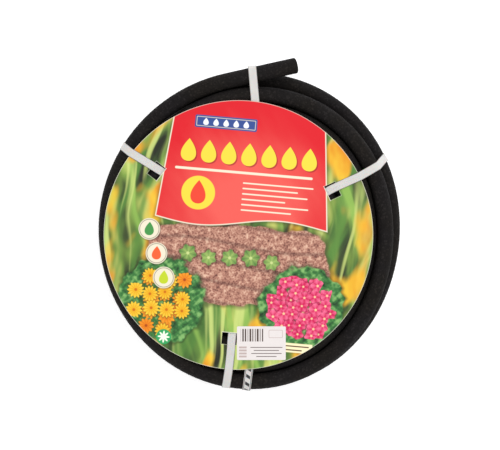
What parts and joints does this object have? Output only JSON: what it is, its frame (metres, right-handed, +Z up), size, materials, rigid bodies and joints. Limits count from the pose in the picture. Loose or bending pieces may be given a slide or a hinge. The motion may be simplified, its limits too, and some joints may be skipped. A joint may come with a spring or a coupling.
{
  "type": "soaker hose",
  "caption": "Coil of black porous watering hose with plain cut ends, bound with white plastic straps, under a round printed card held by straps through its slots.",
  "frame": {"origin": "middle of the part's footprint, on the ground that the straps' undersides rest on", "axes": "+Z up along the coil's axis, out of the card's printed side; +Y towards the side where the free end leaves the coil; +X to the right of one who reads the card"},
  "size_m": [0.3576, 0.397, 0.0821],
  "materials": {
    "hose_rubber": "matte, finely pitted porous rubber",
    "printed_card": "varnished printed board",
    "label_paper": "white satin paper",
    "strap_plastic": "embossed translucent white polypropylene"
  },
  "bodies": {
    "root": {"hose": "hose_rubber", "card": "printed_card", "card_label": "label_paper", "binding_strap_back": "strap_plastic", "binding_strap_front": "strap_plastic", "card_strap_right": "strap_plastic", "card_strap_left": "strap_plastic", "card_strap_front": "strap_plastic"}
  },
  "joints": []
}
